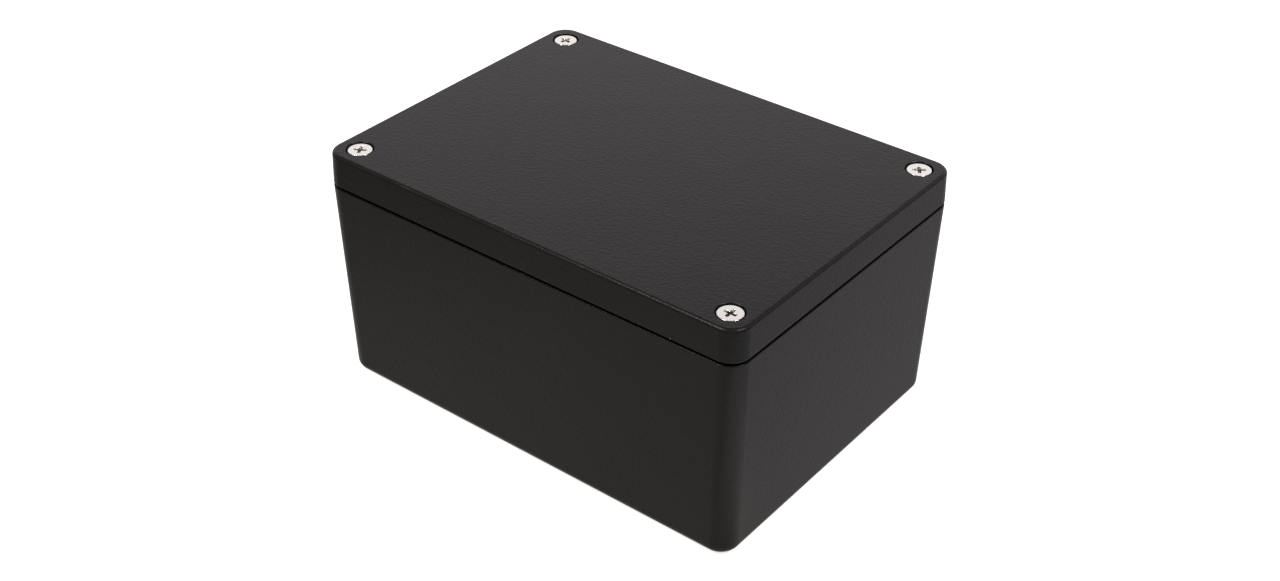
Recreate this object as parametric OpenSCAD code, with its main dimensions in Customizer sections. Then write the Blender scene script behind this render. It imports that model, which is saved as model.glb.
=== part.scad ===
// Sealed die-cast aluminium enclosure: drafted base, screwed lid, gasket and countersunk screws.
// The origin is at the middle of the underside, +X along the length and +Z up through the lid.

/* [Body] */
// Length of the body at the seam
body_l = 148; // [120:1:240]
// Width of the body at the seam
body_w = 108; // [80:1:200]
// Height of the base from its underside to its rim
base_h = 66.3; // [45:0.1:100]
// Height of the lid from its lower rim to its top face
lid_h = 10.2; // [8.5:0.1:16]
// Radius of the upright corners
corner_r = 6; // [4.5:0.25:12]
// Draft of the cast walls in degrees, narrowing away from the seam
draft = 1.4; // [0.5:0.1:3]

/* [Edges] */
// Rounding of the lid's top edge
lid_edge_r = 1; // [0.5:0.1:2.5]
// Rounding of the base's bottom edge
base_edge_r = 3; // [1:0.1:4]
// Rounding of the two edges beside the seam
seam_edge_r = 0.3; // [0.15:0.05:0.6]
// Fillet between the walls and the floor inside the base
floor_fillet_r = 2; // [0.5:0.1:2.5]
// Fillet between the rim and the panel inside the lid
lid_fillet_r = 1.2; // [0.5:0.1:2]

/* [Walls] */
// Thickness of the base's walls at the rim
wall_t = 3.2; // [2.8:0.1:4.5]
// Thickness of the base's floor
floor_t = 3; // [2:0.1:6]
// Thickness of the lid's top panel
lid_t = 3; // [2:0.1:4.5]
// Width of the rib between the lid's groove and its recess
rib_w = 1.5; // [1:0.1:2.2]

/* [Seal] */
// Gap between the rims of the base and the lid, held open by the gasket
seam_gap = 0.8; // [0.2:0.05:1]
// Width of the tongue on the base's rim
tongue_w = 1.4; // [1:0.1:1.8]
// Height of the tongue above the rim
tongue_h = 2.5; // [1.5:0.1:3]
// Chamfer on the tongue's two top edges
tongue_chamfer = 0.3; // [0.1:0.05:0.45]
// Step from the tongue to the inner edge of the rim
tongue_setback = 0.2; // [0.1:0.05:0.4]
// Gap between the tongue and each side of the groove
groove_gap = 0.3; // [0.2:0.05:0.45]
// Thickness of the gasket under the tongue's pressure
gasket_t = 2; // [1.2:0.1:2.4]
// Gap between the gasket and each side of the groove
gasket_gap = 0.1; // [0.05:0.05:0.25]

/* [Screws] */
// Distance of each screw axis from the two outer faces beside it
screw_inset = 7.7; // [7:0.1:11]
// Thread diameter of the screws
screw_d = 4; // [3:0.5:4.5]
// Length of the screws, head included
screw_l = 20; // [16:1:40]
// Diameter of the screw heads
head_d = 7.2; // [6.5:0.1:7.8]
// Height of the upright rim of a head
head_rim_h = 0.2; // [0.05:0.05:0.3]
// Depth of the heads' faces below the lid's top face
head_sink = 0.3; // [0.1:0.05:0.6]
// Diameter of the wells round the heads
well_d = 8.3; // [8:0.1:9.5]
// Depth of the wells, down to the seats of the heads
well_depth = 1.2; // [0.8:0.1:1.5]
// Chamfer at the mouths of the wells
well_chamfer = 0.15; // [0.05:0.05:0.3]
// Radial gap between a screw and its hole in the lid
lid_hole_gap = 0.25; // [0.15:0.05:0.5]
// Radial play of a screw in its threaded hole in the base
thread_play = 0.1; // [0.05:0.05:0.15]
// Gap between a head and its seat, along the screw
seat_gap = 0.05; // [0.02:0.01:0.1]
// Depth of a threaded hole below the end of its screw
hole_spare = 3; // [1:0.5:8]
// Chamfer at the mouth of a threaded hole and at the end of a screw
thread_chamfer = 0.5; // [0.2:0.1:0.8]
// Radius of the screw columns at the rim, about the screw axis
column_r = 6; // [5.3:0.1:7]

/* [Cross recess] */
// Diameter across the wings of the cross recess
recess_d = 4.2; // [3:0.1:5]
// Width of a wing of the cross recess
recess_w = 0.95; // [0.7:0.05:1.3]
// Depth of the cross recess
recess_depth = 2.1; // [1.2:0.1:2.6]
// Diameter of the cross recess at its bottom
recess_tip_d = 1.8; // [1.2:0.1:2.2]
// Turn of the cross recess in the four screws, anticlockwise from the corner at +X and -Y
recess_turns = [0, 35, 80, 30]; // [0:5:90]

/* [Board posts] */
// Distance of each board post from the screw axis beside it, along both sides
post_inset = 12.3; // [11:0.1:24]
// Height of the board posts above the floor
post_h = 5; // [2:0.5:12]
// Diameter of the board posts at their top
post_d = 7; // [6:0.5:9]
// Diameter of the blind holes in the board posts
post_hole_d = 2.5; // [2:0.1:3.2]
// Metal left under the blind holes
post_hole_floor = 2; // [1:0.1:2.5]

/* [Hidden] */
$fn = 64;

// Overshoot of a cut past the face that it opens, and of a post or the tongue into the metal below it
cut = 1;
// Least radius left beside a fillet at the bottom of a hollow
fillet_margin = 0.2;

coat_colour = [0.17, 0.165, 0.165];
gasket_colour = [0.28, 0.28, 0.29];
screw_colour = [0.85, 0.84, 0.82];

lid_rim_z = base_h + seam_gap;
total_h = lid_rim_z + lid_h;

// Lean of the drafted walls, as a slope and as a shear toward +X and +Y
slope = tan(draft);
lean = [
    [1, 0, slope, 0],
    [0, 1, slope, 0],
    [0, 0, 1, 0],
    [0, 0, 0, 1]
];

// Middle of the corner rounds, and the screw axis, in the corner at +X and +Y
corner_at = [body_l / 2 - corner_r, body_w / 2 - corner_r];
screw_at = [body_l / 2 - screw_inset, body_w / 2 - screw_inset];

// The seal's middle line: a quarter turn into each column, a quarter turn round its screw and another out
seal_inset = wall_t - tongue_setback - tongue_w / 2;
seal_in_r = screw_inset - seal_inset;
seal_round_r = column_r - tongue_setback - tongue_w / 2;
seal_turn = seal_in_r + seal_round_r;
seal_run = screw_at - [seal_turn, seal_turn];

groove_w = tongue_w + 2 * groove_gap;
groove_h = tongue_h + gasket_t - seam_gap;
gasket_w = groove_w - 2 * gasket_gap;

// Inner faces of the base and of the lid's rib, measured inward from the seal's middle line
base_mouth = tongue_w / 2 + tongue_setback;
lid_mouth = groove_w / 2 + rib_w;

screw_r = screw_d / 2;
head_r = head_d / 2;
head_z = total_h - head_sink;
hole_bottom = head_z - screw_l - hole_spare;

// Copies a shape from the corner at +X and +Y to all four corners
module four_corners() {
    for (mx = [0, 1], my = [0, 1])
        mirror([mx, 0, 0])
            mirror([0, my, 0])
                children();
}

// Runs a section along the four walls: x runs outward from the lines through at, and y runs up
module four_walls(at, run) {
    for (turn = [0, 180])
        rotate(turn) {
            translate([0, at.y, 0])
                rotate([90, 0, 90])
                    linear_extrude(2 * run.x, center = true)
                        children();
            translate([at.x, 0, 0])
                rotate([90, 0, 0])
                    linear_extrude(2 * run.y, center = true)
                        children();
        }
}

// Rounds a derived length to whole microns, so that sections meet exactly
function micron(length) = round(length * 1000) / 1000;

// Quarter disc about a point, on its outer side and above or below it
module quarter_round(at, r, above) {
    side = 2 * r;
    translate(at)
        intersection() {
            circle(r);
            translate([0, above ? 0 : -side]) square(side);
        }
}

// Section of a shell's wall before it leans, out from the corner middle: closed end at 0, seam at height h
module shell_profile(h, edge_r) {
    edge_x = corner_r - edge_r;
    seam_x = corner_r - seam_edge_r;
    seam_y = h - seam_edge_r;
    polygon([
        [0, 0],
        [edge_x, 0],
        [corner_r, edge_r],
        [corner_r, seam_y],
        [seam_x, h],
        [0, h]
    ]);
    quarter_round([edge_x, edge_r], edge_r, false);
    quarter_round([seam_x, seam_y], seam_edge_r, true);
}

// Quarter of a shell's block before it leans, reaching past the two middle planes
module upright_quarter(h, edge_r, past) {
    run = corner_at + [past, past];
    translate([-past, -past, 0])
        cube([run.x, run.y, h]);
    translate([-past, corner_at.y, 0])
        rotate([90, 0, 90])
            linear_extrude(run.x)
                shell_profile(h, edge_r);
    translate(corner_at)
        rotate([90, 0, 0])
            linear_extrude(run.y)
                shell_profile(h, edge_r);
    translate(corner_at)
        rotate_extrude(angle = 90)
            shell_profile(h, edge_r);
}

// Solid block with drafted walls and corners of one radius, its seam face up at height h
module shell_block(h, edge_r) {
    four_corners()
        translate([0, 0, h])
            multmatrix(lean)
                translate([0, 0, -h])
                    upright_quarter(h, edge_r, 2 * h * slope);
}

// Sweeps a section along the seal: x runs outward from the line through the screws and y runs up
module seal_sweep() {
    four_walls(screw_at, seal_run)
        children();
    four_corners() {
        for (middle = [[seal_run.x, screw_at.y], [screw_at.x, seal_run.y]])
            translate(middle)
                rotate_extrude(angle = 90)
                    children();
        translate(screw_at)
            rotate(180)
                rotate_extrude(angle = 90)
                    translate([seal_turn, 0])
                        mirror([1, 0]) children();
    }
}

// Section of a hollow out to its drafted wall, with its bottom at 0 and its mouth at depth
module hollow_profile(mouth, depth, fillet_r) {
    wall_x = seal_in_r - mouth;
    round_r = micron(min(fillet_r, wall_x - depth * slope - fillet_margin));
    foot_x = micron(wall_x - (depth - round_r) * slope);
    polygon([
        [0, 0],
        [foot_x - round_r, 0],
        [foot_x, round_r],
        [micron(wall_x + cut * slope), depth + cut],
        [0, depth + cut]
    ]);
    quarter_round([foot_x - round_r, round_r], round_r, false);
}

// Hollow that follows the seal round the screw columns, its bottom at 0 and its mouth up at depth
module hollow(mouth, depth, fillet_r) {
    h = depth + cut;
    seal_sweep() hollow_profile(mouth, depth, fillet_r);
    difference() {
        translate([0, 0, h / 2])
            cube([2 * screw_at.x, 2 * screw_at.y, h], center = true);
        four_corners()
            translate([screw_at.x, screw_at.y, -cut])
                cylinder(h = h + 2 * cut, r = seal_turn);
    }
}

module tongue_profile() {
    half = tongue_w / 2;
    polygon([
        [-half, -cut],
        [half, -cut],
        [half, tongue_h - tongue_chamfer],
        [half - tongue_chamfer, tongue_h],
        [tongue_chamfer - half, tongue_h],
        [-half, tongue_h - tongue_chamfer]
    ]);
}

// Threaded hole in a screw column, open at the rim
module column_hole() {
    hole_r = screw_r + thread_play;
    translate([0, 0, hole_bottom])
        cylinder(h = base_h - hole_bottom + cut, r = hole_r);
    translate([0, 0, base_h - thread_chamfer])
        cylinder(h = thread_chamfer + cut, r1 = hole_r, r2 = hole_r + thread_chamfer + cut);
}

// Post that carries a circuit board on the floor
module board_post() {
    top_r = post_d / 2;
    translate([0, 0, floor_t - cut])
        cylinder(h = post_h + cut, r1 = top_r + (post_h + cut) * slope, r2 = top_r);
}

module enclosure_base() {
    post_at = screw_at - [post_inset, post_inset];
    color(coat_colour)
        difference() {
            union() {
                difference() {
                    shell_block(base_h, base_edge_r);
                    translate([0, 0, floor_t])
                        hollow(base_mouth, base_h - floor_t, floor_fillet_r);
                }
                translate([0, 0, base_h])
                    seal_sweep()
                        translate([seal_in_r, 0]) tongue_profile();
                four_corners()
                    translate(post_at) board_post();
            }
            four_corners() {
                translate(screw_at) column_hole();
                translate([post_at.x, post_at.y, post_hole_floor])
                    cylinder(h = floor_t + post_h - post_hole_floor + cut, d = post_hole_d);
            }
        }
}

// Clearance hole through the lid, with a cone that seats the head at the bottom of a well
module lid_hole() {
    hole_r = screw_r + lid_hole_gap;
    well_r = well_d / 2;
    seat_h = head_r - hole_r;
    translate([0, 0, lid_rim_z - cut])
        cylinder(h = lid_h + 2 * cut, r = hole_r);
    translate([0, 0, head_z - head_rim_h - seat_gap - seat_h])
        cylinder(h = seat_h, r1 = hole_r, r2 = head_r);
    translate([0, 0, total_h - well_depth])
        cylinder(h = well_depth + cut, r = well_r);
    translate([0, 0, total_h - well_chamfer])
        cylinder(h = well_chamfer + cut, r1 = well_r, r2 = well_r + well_chamfer + cut);
}

module lid() {
    color(coat_colour)
        difference() {
            translate([0, 0, total_h])
                mirror([0, 0, 1])
                    shell_block(lid_h, lid_edge_r);
            translate([0, 0, total_h - lid_t])
                mirror([0, 0, 1])
                    hollow(lid_mouth, lid_h - lid_t, lid_fillet_r);
            translate([0, 0, lid_rim_z - cut])
                seal_sweep()
                    translate([seal_in_r - groove_w / 2, 0])
                        square([groove_w, groove_h + cut]);
            four_corners()
                translate(screw_at) lid_hole();
        }
}

module lid_gasket() {
    color(gasket_colour)
        translate([0, 0, base_h + tongue_h])
            seal_sweep()
                translate([seal_in_r - gasket_w / 2, 0])
                    square([gasket_w, gasket_t]);
}

// Cross recess below a head's face at height 0
module cross_recess() {
    recess_r = recess_d / 2;
    tip_r = recess_tip_d / 2;
    flare = (recess_r - tip_r) / recess_depth;
    intersection() {
        translate([0, 0, -recess_depth])
            cylinder(h = recess_depth + cut, r1 = tip_r, r2 = recess_r + flare * cut);
        for (turn = [0, 90])
            rotate(turn)
                translate([-recess_d, -recess_w / 2, -recess_depth - cut])
                    cube([2 * recess_d, recess_w, recess_depth + 3 * cut]);
    }
}

// One countersunk screw, its head's face at height 0
module screw() {
    cone_end = -head_rim_h - (head_r - screw_r);
    difference() {
        rotate_extrude()
            polygon([
                [0, -screw_l],
                [screw_r - thread_chamfer, -screw_l],
                [screw_r, thread_chamfer - screw_l],
                [screw_r, cone_end],
                [head_r, -head_rim_h],
                [head_r, 0],
                [0, 0]
            ]);
        cross_recess();
    }
}

module lid_screws() {
    places = [[1, -1], [1, 1], [-1, 1], [-1, -1]];
    color(screw_colour)
        for (i = [0 : len(places) - 1])
            translate([places[i].x * screw_at.x, places[i].y * screw_at.y, head_z])
                rotate(recess_turns[i])
                    screw();
}

enclosure_base();
lid();
lid_gasket();
lid_screws();
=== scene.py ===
import math

import bmesh
import bpy
from mathutils import Matrix, Vector


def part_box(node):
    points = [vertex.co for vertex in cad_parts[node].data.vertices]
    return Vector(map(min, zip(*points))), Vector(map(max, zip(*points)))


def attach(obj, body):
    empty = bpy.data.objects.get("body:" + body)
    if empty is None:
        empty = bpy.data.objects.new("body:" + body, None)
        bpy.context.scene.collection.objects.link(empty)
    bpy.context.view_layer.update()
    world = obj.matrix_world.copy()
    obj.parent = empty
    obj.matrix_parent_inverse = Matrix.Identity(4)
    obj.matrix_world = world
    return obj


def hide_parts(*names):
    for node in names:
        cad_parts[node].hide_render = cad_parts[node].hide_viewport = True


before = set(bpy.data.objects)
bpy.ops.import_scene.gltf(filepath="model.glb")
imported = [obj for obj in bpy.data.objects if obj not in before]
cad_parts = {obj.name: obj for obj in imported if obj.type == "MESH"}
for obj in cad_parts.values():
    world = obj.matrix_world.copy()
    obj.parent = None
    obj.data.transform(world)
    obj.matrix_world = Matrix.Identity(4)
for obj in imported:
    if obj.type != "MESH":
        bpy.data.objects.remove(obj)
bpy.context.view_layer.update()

MM = 0.001
WHITE = (1, 1, 1, 1)

# Camera: a pinhole fitted to the outline and the screws in the photo
IMAGE_WIDTH_PX = 1280
FOCAL_PX = 1778.397
SENSOR_WIDTH_MM = 36.0
CAMERA_AZIMUTH = math.radians(37.845)
CAMERA_ELEVATION = math.radians(34.044)
CAMERA_ROLL = math.radians(0.600)
CAMERA_DISTANCE = 536.691 * MM
CAMERA_TARGET = Vector((2.0, -0.903, 32.709)) * MM
CAMERA_CLIP_START = 10 * MM

# Lamps: two equal soft boxes, by their directions from the object
SOFT_BOX_DISTANCE = 0.9
SOFT_BOX_SIZE = 0.28
SOFT_BOX_WATTS = 3.3
SOFT_BOX_TINT = (1, 0.975, 0.945)
SOFT_BOXES = {
    "left_soft_box": Vector((-0.25, -0.56, 0.79)),
    "right_soft_box": Vector((0.60, 0.02, 0.80)),
}

# Surround: ambient light, and the studio's walls and ceiling as reflections show them
AMBIENT_STRENGTH = 0.42
BACK_WALL_STRENGTH = 1.04
FRONT_WALL_STRENGTH = 0.38
CEILING_STRENGTH = 0.19
WALL_TINT = (1, 0.95, 0.96, 1)
# The front wall turns into the back wall over this range of the cosine from the back wall's middle,
# which lies straight behind the object for a viewer at this azimuth
BACK_WALL_AZIMUTH = math.radians(26)
BACK_WALL_TURN = (-0.1, 1.0)
# Each wall turns into the ceiling over this range of the sine of the elevation
BACK_WALL_RISE = (0.60, 0.66)
FRONT_WALL_RISE = (0.46, 0.56)

# Floor: matt paint, lifted to white where it is seen
FLOOR_HALF_SIDE = 4.0
FLOOR_GAP = 0.05 * MM
FLOOR_COLOUR = (0.8, 0.8, 0.8, 1)
FLOOR_LIFT = 0.7
# Pools of light on the floor as reflections show it: two wide ones that fade to a rim,
# and a small one where both soft boxes shine
POOL_MIDDLES = (Vector((0.09, 0.03, 0)), Vector((-0.13, 0.16, 0)))
POOL_RADII = (0.15, 0.40)
POOL_STRENGTH = 0.535
POOL_RIM_STRENGTH = 0.08
CORNER_POOL_MIDDLE = Vector((0.130, -0.062, 0))
CORNER_POOL_RADII = (0.026, 0.066)
CORNER_POOL_STRENGTH = 1.0
# The pools' light turns from yellowish at the front left to rosy at the right and behind
POOL_TINT_LEFT = (1, 0.967, 0.885, 1)
POOL_TINT_RIGHT = (1, 0.940, 0.953, 1)
POOL_TINT_ACROSS = Vector((1, 1, 0)).normalized()
POOL_TINT_TURN = (-0.02, 0.06)

# Noise: its usual reach, and its detail where it is fine and where it is broad
NOISE_REACH = (0.3, 0.7)
FINE_DETAIL = 2.0
MOTTLE_DETAIL = 3.0

# Powder coat: dark pigment with a fine grain over a gentle orange peel
COAT_DARK = (0.0083, 0.0080, 0.0078, 1)
COAT_LIGHT = (0.0105, 0.0101, 0.0098, 1)
COAT_SPECULAR = 0.2
COAT_ROUGHNESS = (0.25, 0.32)
COAT_MOTTLE_SCALE = 60
COAT_GRAIN_SCALE = 1500
COAT_PEEL_SCALE = 800
COAT_PEEL_SHARE = 1.2
COAT_BUMP_HEIGHT = 0.052 * MM

# Bare metal in the coat: the tapped holes of the base and small chips, by their middles and radii
METAL_COLOUR = (0.60, 0.60, 0.59, 1)
METAL_ROUGHNESS = 0.35
TAPPED_HOLES = (
    (Vector((66.3, 46.3, 0)) * MM, 2.65 * MM),
    (Vector((54, 34, 0)) * MM, 1.3 * MM),
)
TAPPED_TOP = 66.5 * MM
TAPPED_PITCH = 0.7 * MM
TAPPED_THREAD_HEIGHT = 3
CHIPS = ((Vector((53.15, -53.95, 67.23)) * MM, 0.265 * MM),)

# Painted shade on the faces inside the seam and over the edges beside it, darker than the rest of
# the coat
SEAM_SHADE_FROM = 66.1 * MM
SEAM_SHADE_TO = 67.2 * MM
SEAM_SHADE_COLOUR = (0.002, 0.002, 0.002, 1)

# Gasket: soft dark silicone with a matt skin
RUBBER_DARK = (0.050, 0.050, 0.054, 1)
RUBBER_LIGHT = (0.068, 0.068, 0.073, 1)
RUBBER_ROUGHNESS = (0.68, 0.82)
RUBBER_SCALE = 2200
RUBBER_BUMP_HEIGHT = 0.008 * MM

# Screws: bright steel with turning marks; painted shade makes the recess darker inside these
# heights and this radius
STEEL_COLOUR = (0.86, 0.855, 0.825, 1)
STEEL_ROUGHNESS = (0.13, 0.19)
STEEL_MARK_SCALE = 4200
STEEL_BUMP_HEIGHT = 0.0006 * MM
RECESS_SHADE_COLOUR = (0.38, 0.33, 0.28, 1)
RECESS_SHADE_FROM = -0.04 * MM
RECESS_SHADE_TO = -0.45 * MM
RECESS_SHADE_END = -2.2 * MM
RECESS_SHADE_RADIUS = 2.4 * MM

# Screw mesh, measured from the head's face on the screw's axis
SCREW_SIDES = 96
SCREW_ANGLES = [math.tau * i / SCREW_SIDES for i in range(SCREW_SIDES)]
SCREW_LENGTH = 20 * MM
SHARP_ANGLE = math.radians(40)
HEAD_RADIUS = 3.6 * MM
HEAD_RIM = 0.2 * MM
HEAD_EDGE = 0.14 * MM
HEAD_EDGE_STEPS = 5
HEAD_FOOT = 0.03 * MM
FLAT_MARGIN = 0.05 * MM
THREAD_RADIUS = 2.0 * MM
THREAD_ROOT_RADIUS = 1.57 * MM
THREAD_PITCH = 0.7 * MM
THREAD_STEPS = 8
THREAD_FADE = 0.9 * MM
# Slope of the thread's flanks, and how far they are cut off at the root and the crest
THREAD_SLOPE = 1.25
THREAD_CUT = 0.125
NECK_RADIUS = 1.85 * MM
NECK_LENGTH = THREAD_PITCH / 2
TIP_RADIUS = 1.35 * MM
TIP_FLAT_RADIUS = TIP_RADIUS / 2
RECESS_RADIUS = 1.95 * MM
RECESS_HALF_WIDTH = 0.475 * MM
RECESS_LIP = 0.07 * MM
RECESS_LIP_BEND = RECESS_LIP / 3
RECESS_DEPTH = 2.1 * MM
RECESS_SHARPNESS = 9
RECESS_WING_ANGLE = math.pi / 2
# Shares of the recess's radius, half width and depth at which it narrows
RECESS_STEPS = ((0.72, 0.94, 0.5), (0.50, 0.88, 0.85), (0.25, 0.60, 0.95))
# Turn of each recess in degrees, by the signs of the screw's place along X and Y
SCREW_TURNS = {(1, -1): 0, (1, 1): 35, (-1, 1): 80, (-1, -1): 30}

# Sockets of a Mix node for its two inputs and its result, by the kind of data
MIX_SOCKETS = {"FLOAT": (2, 3, 0), "RGBA": (6, 7, 2)}


def add(tree, kind, inputs=None, **settings):
    """New node; inputs maps a socket's name or number to a value or to the socket that feeds it."""
    node = tree.nodes.new(kind)
    for name, value in settings.items():
        setattr(node, name, value)
    for name, value in (inputs or {}).items():
        if isinstance(value, bpy.types.NodeSocket):
            tree.links.new(value, node.inputs[name])
        else:
            node.inputs[name].default_value = value
    return node


def calculate(tree, operation, *values):
    """Result of a Math node on numbers or sockets."""
    return add(tree, "ShaderNodeMath", dict(enumerate(values)), operation=operation).outputs[0]


def vector_math(tree, operation, *values):
    """Outputs of a Vector Math node on vectors or sockets."""
    return add(tree, "ShaderNodeVectorMath", dict(enumerate(values)), operation=operation).outputs


def distance(tree, place, middle):
    return vector_math(tree, "DISTANCE", place, middle)["Value"]


def along(tree, place, direction):
    """How far place lies along a direction of length 1."""
    return vector_math(tree, "DOT_PRODUCT", place, direction)["Value"]


def object_place(tree):
    return add(tree, "ShaderNodeTexCoord").outputs["Object"]


def split(tree, place):
    """Outputs X, Y and Z of a place."""
    return add(tree, "ShaderNodeSeparateXYZ", {"Vector": place}).outputs


def join(tree, **parts):
    """Vector made of the parts X, Y and Z; a part that isn't given is 0."""
    return add(tree, "ShaderNodeCombineXYZ", parts).outputs["Vector"]


def noise(tree, place, scale, detail=FINE_DETAIL):
    inputs = {"Vector": place, "Scale": scale, "Detail": detail}
    return add(tree, "ShaderNodeTexNoise", inputs).outputs["Fac"]


def between(tree, share, low, high):
    """Number that goes from low to high as a noise goes over its usual reach."""
    start, end = NOISE_REACH
    inputs = {"Value": share, "From Min": start, "From Max": end, "To Min": low, "To Max": high}
    return add(tree, "ShaderNodeMapRange", inputs).outputs["Result"]


def ramp(tree, value, start, end, kind="LINEAR"):
    """Number that goes from 0 to 1 as value goes from start to end."""
    inputs = {"Value": value, "From Min": start, "From Max": end}
    return add(tree, "ShaderNodeMapRange", inputs, interpolation_type=kind).outputs["Result"]


def smooth_step(tree, value, start, end):
    return ramp(tree, value, start, end, "SMOOTHSTEP")


def mix(tree, kind, share, off, on):
    first, second, result = MIX_SOCKETS[kind]
    inputs = {0: share, first: off, second: on}
    return add(tree, "ShaderNodeMix", inputs, data_type=kind).outputs[result]


def mix_numbers(tree, share, off, on):
    """Number that is off where share is 0 and on where it is 1."""
    return mix(tree, "FLOAT", share, off, on)


def blend_colours(tree, share, off, on):
    """Colour that is off where share is 0 and on where it is 1."""
    return mix(tree, "RGBA", share, off, on)


def bump(tree, height, depth):
    inputs = {"Height": height, "Strength": 1.0, "Distance": depth}
    return add(tree, "ShaderNodeBump", inputs).outputs["Normal"]


def glow(tree, colour, strength):
    inputs = {"Color": colour, "Strength": strength}
    return add(tree, "ShaderNodeEmission", inputs).outputs["Emission"]


def new_material(name):
    """Material with an empty tree and its output node."""
    material = bpy.data.materials.new(name)
    material.use_nodes = True
    material.node_tree.nodes.clear()
    return material, material.node_tree, add(material.node_tree, "ShaderNodeOutputMaterial")


def dress(tree, output, **sockets):
    """Principled shader on the output, with its sockets named by words joined with underscores."""
    inputs = {name.replace("_", " "): value for name, value in sockets.items()}
    shader = add(tree, "ShaderNodeBsdfPrincipled", inputs)
    tree.links.new(shader.outputs["BSDF"], output.inputs["Surface"])


def within(tree, place, spots):
    """1 where place is inside one of the spots, which are middles and radii."""
    inside = 0.0
    for middle, radius in spots:
        near = calculate(tree, "LESS_THAN", distance(tree, place, middle), radius)
        inside = calculate(tree, "MAXIMUM", inside, near)
    return inside


def bare_metal(tree, place, height):
    """1 in the base's tapped holes, which lie the same in all four corners, and at the chips."""
    corner = vector_math(tree, "ABSOLUTE", place)["Vector"]
    flat = vector_math(tree, "MULTIPLY", corner, (1, 1, 0))["Vector"]
    below = calculate(tree, "LESS_THAN", height, TAPPED_TOP)
    tapped = calculate(tree, "MULTIPLY", within(tree, flat, TAPPED_HOLES), below)
    return calculate(tree, "MAXIMUM", tapped, within(tree, place, CHIPS))


def seam_shade(tree, height):
    """1 on the faces between the base and the lid, where shade is painted into the coat."""
    above = calculate(tree, "GREATER_THAN", height, SEAM_SHADE_FROM)
    return calculate(tree, "MULTIPLY", above, calculate(tree, "LESS_THAN", height, SEAM_SHADE_TO))


def tapped_thread(tree, height):
    """Relief of the threads in the tapped holes."""
    turns = calculate(tree, "SINE", calculate(tree, "MULTIPLY", height, math.tau / TAPPED_PITCH))
    return calculate(tree, "MULTIPLY", turns, TAPPED_THREAD_HEIGHT)


def powder_coat():
    """Coat over the castings, with painted shade in the seam, and threads and bare metal in the
    tapped holes.
    """
    material, tree, output = new_material("powder_coat")
    place = object_place(tree)
    height = split(tree, place)["Z"]
    bare = bare_metal(tree, place, height)
    mottle = noise(tree, place, COAT_MOTTLE_SCALE, MOTTLE_DETAIL)
    grain = noise(tree, place, COAT_GRAIN_SCALE)
    peel = noise(tree, place, COAT_PEEL_SCALE)
    relief = calculate(tree, "MULTIPLY_ADD", peel, COAT_PEEL_SHARE, grain)
    pigment = blend_colours(tree, mottle, COAT_DARK, COAT_LIGHT)
    # Painted shade: the coat turns near black inside the seam
    colour = blend_colours(tree, seam_shade(tree, height), pigment, SEAM_SHADE_COLOUR)
    roughness = between(tree, grain, *COAT_ROUGHNESS)
    surface = mix_numbers(tree, bare, relief, tapped_thread(tree, height))
    dress(
        tree,
        output,
        Base_Color=blend_colours(tree, bare, colour, METAL_COLOUR),
        Metallic=bare,
        Roughness=mix_numbers(tree, bare, roughness, METAL_ROUGHNESS),
        Specular_IOR_Level=COAT_SPECULAR,
        Normal=bump(tree, surface, COAT_BUMP_HEIGHT),
    )
    return material


def gasket_rubber():
    material, tree, output = new_material("gasket_rubber")
    skin = noise(tree, object_place(tree), RUBBER_SCALE)
    dress(
        tree,
        output,
        Base_Color=blend_colours(tree, skin, RUBBER_DARK, RUBBER_LIGHT),
        Roughness=between(tree, skin, *RUBBER_ROUGHNESS),
        Normal=bump(tree, skin, RUBBER_BUMP_HEIGHT),
    )
    return material


def recess_shade(tree, radius, height):
    """Painted shade: goes from 0 at the head's face to 1 down in the recess, and is 0 elsewhere on
    the screw.
    """
    deep = ramp(tree, height, RECESS_SHADE_FROM, RECESS_SHADE_TO)
    inside = calculate(tree, "LESS_THAN", radius, RECESS_SHADE_RADIUS)
    above = calculate(tree, "GREATER_THAN", height, RECESS_SHADE_END)
    return calculate(tree, "MULTIPLY", deep, calculate(tree, "MULTIPLY", inside, above))


def bright_steel():
    """Steel with turning marks round the axis and painted shade in the recess."""
    material, tree, output = new_material("bright_steel")
    place = split(tree, object_place(tree))
    height = place["Z"]
    radius = vector_math(tree, "LENGTH", join(tree, X=place["X"], Y=place["Y"]))["Value"]
    marks = noise(tree, join(tree, X=radius, Z=height), STEEL_MARK_SCALE)
    # Painted shade: the steel turns darker from the head's face down into the recess
    shade = recess_shade(tree, radius, height)
    dress(
        tree,
        output,
        Base_Color=blend_colours(tree, shade, STEEL_COLOUR, RECESS_SHADE_COLOUR),
        Metallic=1.0,
        Roughness=between(tree, marks, *STEEL_ROUGHNESS),
        Normal=bump(tree, marks, STEEL_BUMP_HEIGHT),
    )
    return material


def seen_straight(tree):
    """1 for rays from the camera and through glass."""
    rays = add(tree, "ShaderNodeLightPath").outputs
    return calculate(tree, "MAXIMUM", rays["Is Camera Ray"], rays["Is Transmission Ray"])


def seen_mirrored(tree):
    """1 for rays from a reflection."""
    return add(tree, "ShaderNodeLightPath").outputs["Is Glossy Ray"]


def wall(tree, strength, height, rise):
    """Strength of a wall that turns into the ceiling."""
    return mix_numbers(tree, smooth_step(tree, height, *rise), strength, CEILING_STRENGTH)


def studio_walls(tree):
    """Strength of the surround in reflections: white behind, grey in front and darker overhead."""
    towards = add(tree, "ShaderNodeTexCoord").outputs["Generated"]
    away = Vector((-math.sin(BACK_WALL_AZIMUTH), math.cos(BACK_WALL_AZIMUTH), 0))
    behind = smooth_step(tree, along(tree, towards, away), *BACK_WALL_TURN)
    height = split(tree, towards)["Z"]
    front = wall(tree, FRONT_WALL_STRENGTH, height, FRONT_WALL_RISE)
    back = wall(tree, BACK_WALL_STRENGTH, height, BACK_WALL_RISE)
    return mix_numbers(tree, behind, front, back)


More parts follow.
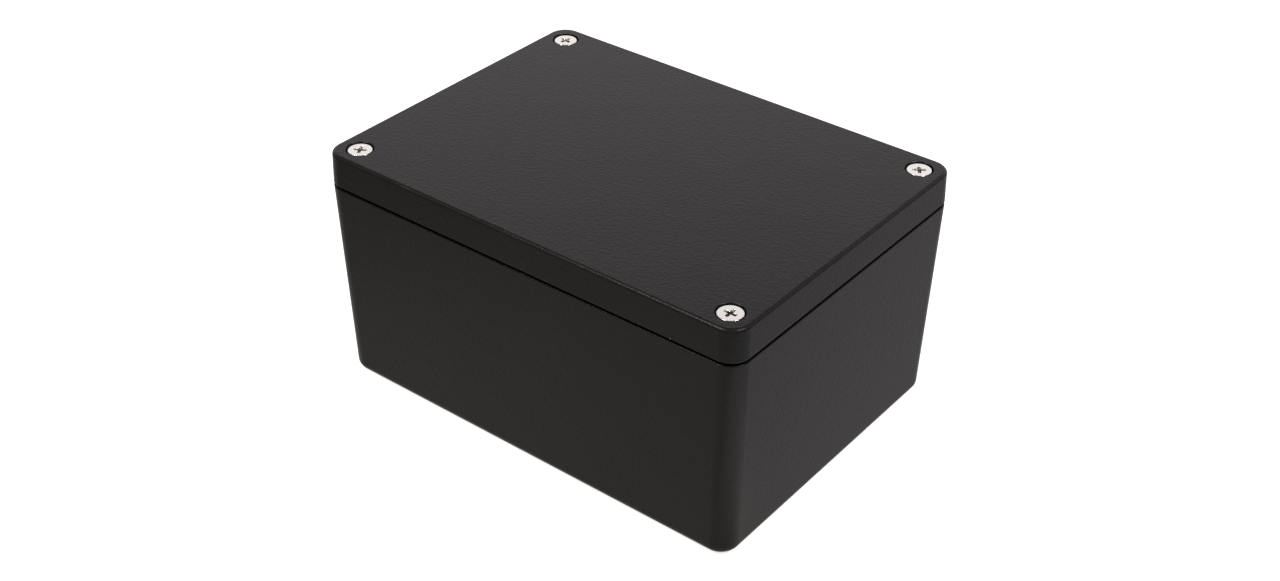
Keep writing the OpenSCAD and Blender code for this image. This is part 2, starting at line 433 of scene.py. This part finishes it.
def studio_surround():
    """White world where it is seen, the studio's walls in reflections, soft light elsewhere."""
    world = bpy.data.worlds.new("surround")
    bpy.context.scene.world = world
    world.use_nodes = True
    tree = world.node_tree
    tree.nodes.clear()
    spread = mix_numbers(tree, seen_mirrored(tree), AMBIENT_STRENGTH, studio_walls(tree))
    strength = mix_numbers(tree, seen_straight(tree), spread, 1.0)
    colour = blend_colours(tree, seen_mirrored(tree), WHITE, WALL_TINT)
    background = add(tree, "ShaderNodeBackground", {"Color": colour, "Strength": strength})
    output = add(tree, "ShaderNodeOutputWorld")
    tree.links.new(background.outputs["Background"], output.inputs["Surface"])


def light_pools(tree):
    """Glow of the floor in reflections."""
    place = object_place(tree)
    distances = [distance(tree, place, middle) for middle in POOL_MIDDLES]
    off_pool = smooth_step(tree, calculate(tree, "MINIMUM", *distances), *POOL_RADII)
    wide = mix_numbers(tree, off_pool, POOL_STRENGTH, POOL_RIM_STRENGTH)
    off_corner = smooth_step(tree, distance(tree, place, CORNER_POOL_MIDDLE), *CORNER_POOL_RADII)
    strength = mix_numbers(tree, off_corner, CORNER_POOL_STRENGTH, wide)
    turn = smooth_step(tree, along(tree, place, POOL_TINT_ACROSS), *POOL_TINT_TURN)
    return glow(tree, blend_colours(tree, turn, POOL_TINT_LEFT, POOL_TINT_RIGHT), strength)


def floor_paint():
    """Pale matt paint that keeps shadows, with the pools of light in reflections."""
    material, tree, output = new_material("floor_paint")
    matt = add(tree, "ShaderNodeBsdfDiffuse", {"Color": FLOOR_COLOUR}).outputs["BSDF"]
    lift = glow(tree, WHITE, calculate(tree, "MULTIPLY", seen_straight(tree), FLOOR_LIFT))
    paint = add(tree, "ShaderNodeAddShader", {0: matt, 1: lift}).outputs["Shader"]
    shaders = {0: seen_mirrored(tree), 1: paint, 2: light_pools(tree)}
    both = add(tree, "ShaderNodeMixShader", shaders)
    tree.links.new(both.outputs["Shader"], output.inputs["Surface"])
    return material


def link_object(name, data):
    made = bpy.data.objects.new(name, data)
    bpy.context.scene.collection.objects.link(made)
    return made


def white_floor():
    side = FLOOR_HALF_SIDE
    corners = ((-side, -side), (side, -side), (side, side), (-side, side))
    mesh = bpy.data.meshes.new("floor")
    mesh.from_pydata([(x, y, -FLOOR_GAP) for x, y in corners], [], [(0, 1, 2, 3)])
    mesh.materials.append(floor_paint())
    link_object("floor", mesh)


def soft_box(name, towards):
    """Square area lamp in the given direction from the object, aimed at it."""
    light = bpy.data.lights.new(name, "AREA")
    light.shape = "SQUARE"
    light.size = SOFT_BOX_SIZE
    light.energy = SOFT_BOX_WATTS
    light.color = SOFT_BOX_TINT
    lamp = link_object(name, light)
    lamp.location = towards.normalized() * SOFT_BOX_DISTANCE
    lamp.rotation_mode = "QUATERNION"
    lamp.rotation_quaternion = (-towards).to_track_quat("-Z", "Y")
    lamp.visible_camera = False


def photo_camera():
    """Camera at the photo's place, looking at the target with a slight roll."""
    across = math.cos(CAMERA_ELEVATION)
    back = Vector((
        math.sin(CAMERA_AZIMUTH) * across,
        -math.cos(CAMERA_AZIMUTH) * across,
        math.sin(CAMERA_ELEVATION),
    ))
    level = Vector((math.cos(CAMERA_AZIMUTH), math.sin(CAMERA_AZIMUTH), 0))
    upright = back.cross(level)
    right = math.cos(CAMERA_ROLL) * level + math.sin(CAMERA_ROLL) * upright
    up = math.cos(CAMERA_ROLL) * upright - math.sin(CAMERA_ROLL) * level
    lens = bpy.data.cameras.new("camera")
    lens.sensor_fit = "HORIZONTAL"
    lens.sensor_width = SENSOR_WIDTH_MM
    lens.lens = FOCAL_PX / IMAGE_WIDTH_PX * SENSOR_WIDTH_MM
    lens.clip_start = CAMERA_CLIP_START
    camera = link_object("camera", lens)
    turn = Matrix((right, up, back)).transposed().to_4x4()
    camera.matrix_world = Matrix.Translation(CAMERA_TARGET + back * CAMERA_DISTANCE) @ turn
    bpy.context.scene.camera = camera


def polar(radius, angle, z):
    return Vector((radius * math.cos(angle), radius * math.sin(angle), z))


def circle(radius, z):
    return [polar(radius, angle, z) for angle in SCREW_ANGLES]


def cross(radius, half_width, z):
    """Outline of a cross recess with four wings, softly rounded at their tips and inner corners."""
    points = []
    half = RECESS_WING_ANGLE / 2
    for angle in SCREW_ANGLES:
        off_wing = abs((angle + half) % RECESS_WING_ANGLE - half)
        side = math.sin(off_wing) / half_width
        power = radius ** -RECESS_SHARPNESS + side ** RECESS_SHARPNESS
        points.append(polar(power ** (-1 / RECESS_SHARPNESS), angle, z))
    return points


def thread(z, top, bottom):
    """Ring of a right-hand thread that fades into the neck at top and into the tip at bottom."""
    neck = min((top - z) / THREAD_FADE, 1)
    tip = min((z - bottom) / THREAD_FADE, 1)
    limit = TIP_RADIUS + (THREAD_RADIUS - TIP_RADIUS) * tip
    points = []
    for angle in SCREW_ANGLES:
        phase = (z / THREAD_PITCH - angle / math.tau) % 1
        crest = min(max(THREAD_SLOPE * abs(2 * phase - 1) - THREAD_CUT, 0), 1)
        full = THREAD_ROOT_RADIUS + (THREAD_RADIUS - THREAD_ROOT_RADIUS) * crest
        radius = min(NECK_RADIUS + (full - NECK_RADIUS) * neck, limit)
        points.append(polar(radius, angle, z))
    return points


def head_edge():
    """Rings of the rounded edge between the head's rim and its face."""
    rings = []
    for step in range(HEAD_EDGE_STEPS + 1):
        angle = math.pi / 2 * step / HEAD_EDGE_STEPS
        inward, down = HEAD_EDGE * (1 - math.cos(angle)), HEAD_EDGE * (1 - math.sin(angle))
        rings.append(circle(HEAD_RADIUS - inward, -down))
    return rings


def recess_rings():
    """Rings from the head's face over the softened lip and down into the recess."""
    lip = (
        (RECESS_LIP + FLAT_MARGIN, 0),
        (RECESS_LIP, 0),
        (RECESS_LIP_BEND, -RECESS_LIP_BEND),
        (0, -RECESS_LIP),
    )
    rings = [cross(RECESS_RADIUS + out, RECESS_HALF_WIDTH + out, z) for out, z in lip]
    for wing, width, depth in RECESS_STEPS:
        rings.append(cross(wing * RECESS_RADIUS, width * RECESS_HALF_WIDTH, -depth * RECESS_DEPTH))
    return rings


def screw_rings():
    """Rings of the screw's surface, from its tip up round the head and down into the recess."""
    cone_end = -HEAD_RIM - (HEAD_RADIUS - THREAD_RADIUS)
    top, bottom = cone_end - NECK_LENGTH, -SCREW_LENGTH
    step = THREAD_PITCH / THREAD_STEPS
    count = int((top - bottom) / step) + 1
    return [
        circle(TIP_FLAT_RADIUS, bottom),
        *(thread(bottom + i * step, top, bottom) for i in range(count)),
        circle(NECK_RADIUS, top),
        circle(THREAD_RADIUS, cone_end),
        circle(HEAD_RADIUS - HEAD_FOOT, -HEAD_RIM - HEAD_FOOT),
        circle(HEAD_RADIUS, -HEAD_RIM + HEAD_FOOT),
        *head_edge(),
        circle(HEAD_RADIUS - HEAD_EDGE - FLAT_MARGIN, 0),
        *recess_rings(),
    ]


def screw_mesh():
    """Closed surface over the screw's rings, with a middle point at its tip and in its recess."""
    shape = bmesh.new()
    rings = [[shape.verts.new(point) for point in ring] for ring in screw_rings()]
    for low, high in zip(rings, rings[1:]):
        for i in range(SCREW_SIDES):
            j = (i + 1) % SCREW_SIDES
            shape.faces.new((low[i], low[j], high[j], high[i]))
    for ring, height in ((rings[0][::-1], -SCREW_LENGTH), (rings[-1], -RECESS_DEPTH)):
        middle = shape.verts.new((0, 0, height))
        for i in range(SCREW_SIDES):
            shape.faces.new((ring[i], ring[(i + 1) % SCREW_SIDES], middle))
    mesh = bpy.data.meshes.new("lid_screw")
    shape.to_mesh(mesh)
    shape.free()
    mesh.shade_smooth()
    mesh.set_sharp_from_angle(angle=SHARP_ANGLE)
    mesh.materials.append(bright_steel())
    return mesh


def lid_screws():
    """Four screws in the places of the CAD's plain ones, each with its own turn."""
    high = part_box("lid_screws")[1]
    x, y = high.x - HEAD_RADIUS, high.y - HEAD_RADIUS
    mesh = screw_mesh()
    for number, ((sign_x, sign_y), turn) in enumerate(SCREW_TURNS.items(), 1):
        screw = link_object(f"lid_screw_{number}", mesh)
        screw.location = (sign_x * x, sign_y * y, high.z)
        screw.rotation_euler.z = math.radians(turn)
        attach(screw, "lid")
        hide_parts("lid_screws")


def paint_nodes():
    """Materials on the CAD's own meshes."""
    coat = powder_coat()
    looks = {"enclosure_base": coat, "lid": coat, "lid_gasket": gasket_rubber()}
    for name, material in looks.items():
        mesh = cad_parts[name].data
        mesh.materials.clear()
        mesh.materials.append(material)


bpy.context.scene.view_settings.view_transform = "Standard"
photo_camera()
studio_surround()
white_floor()
for box_name, box_towards in SOFT_BOXES.items():
    soft_box(box_name, box_towards)
paint_nodes()
lid_screws()
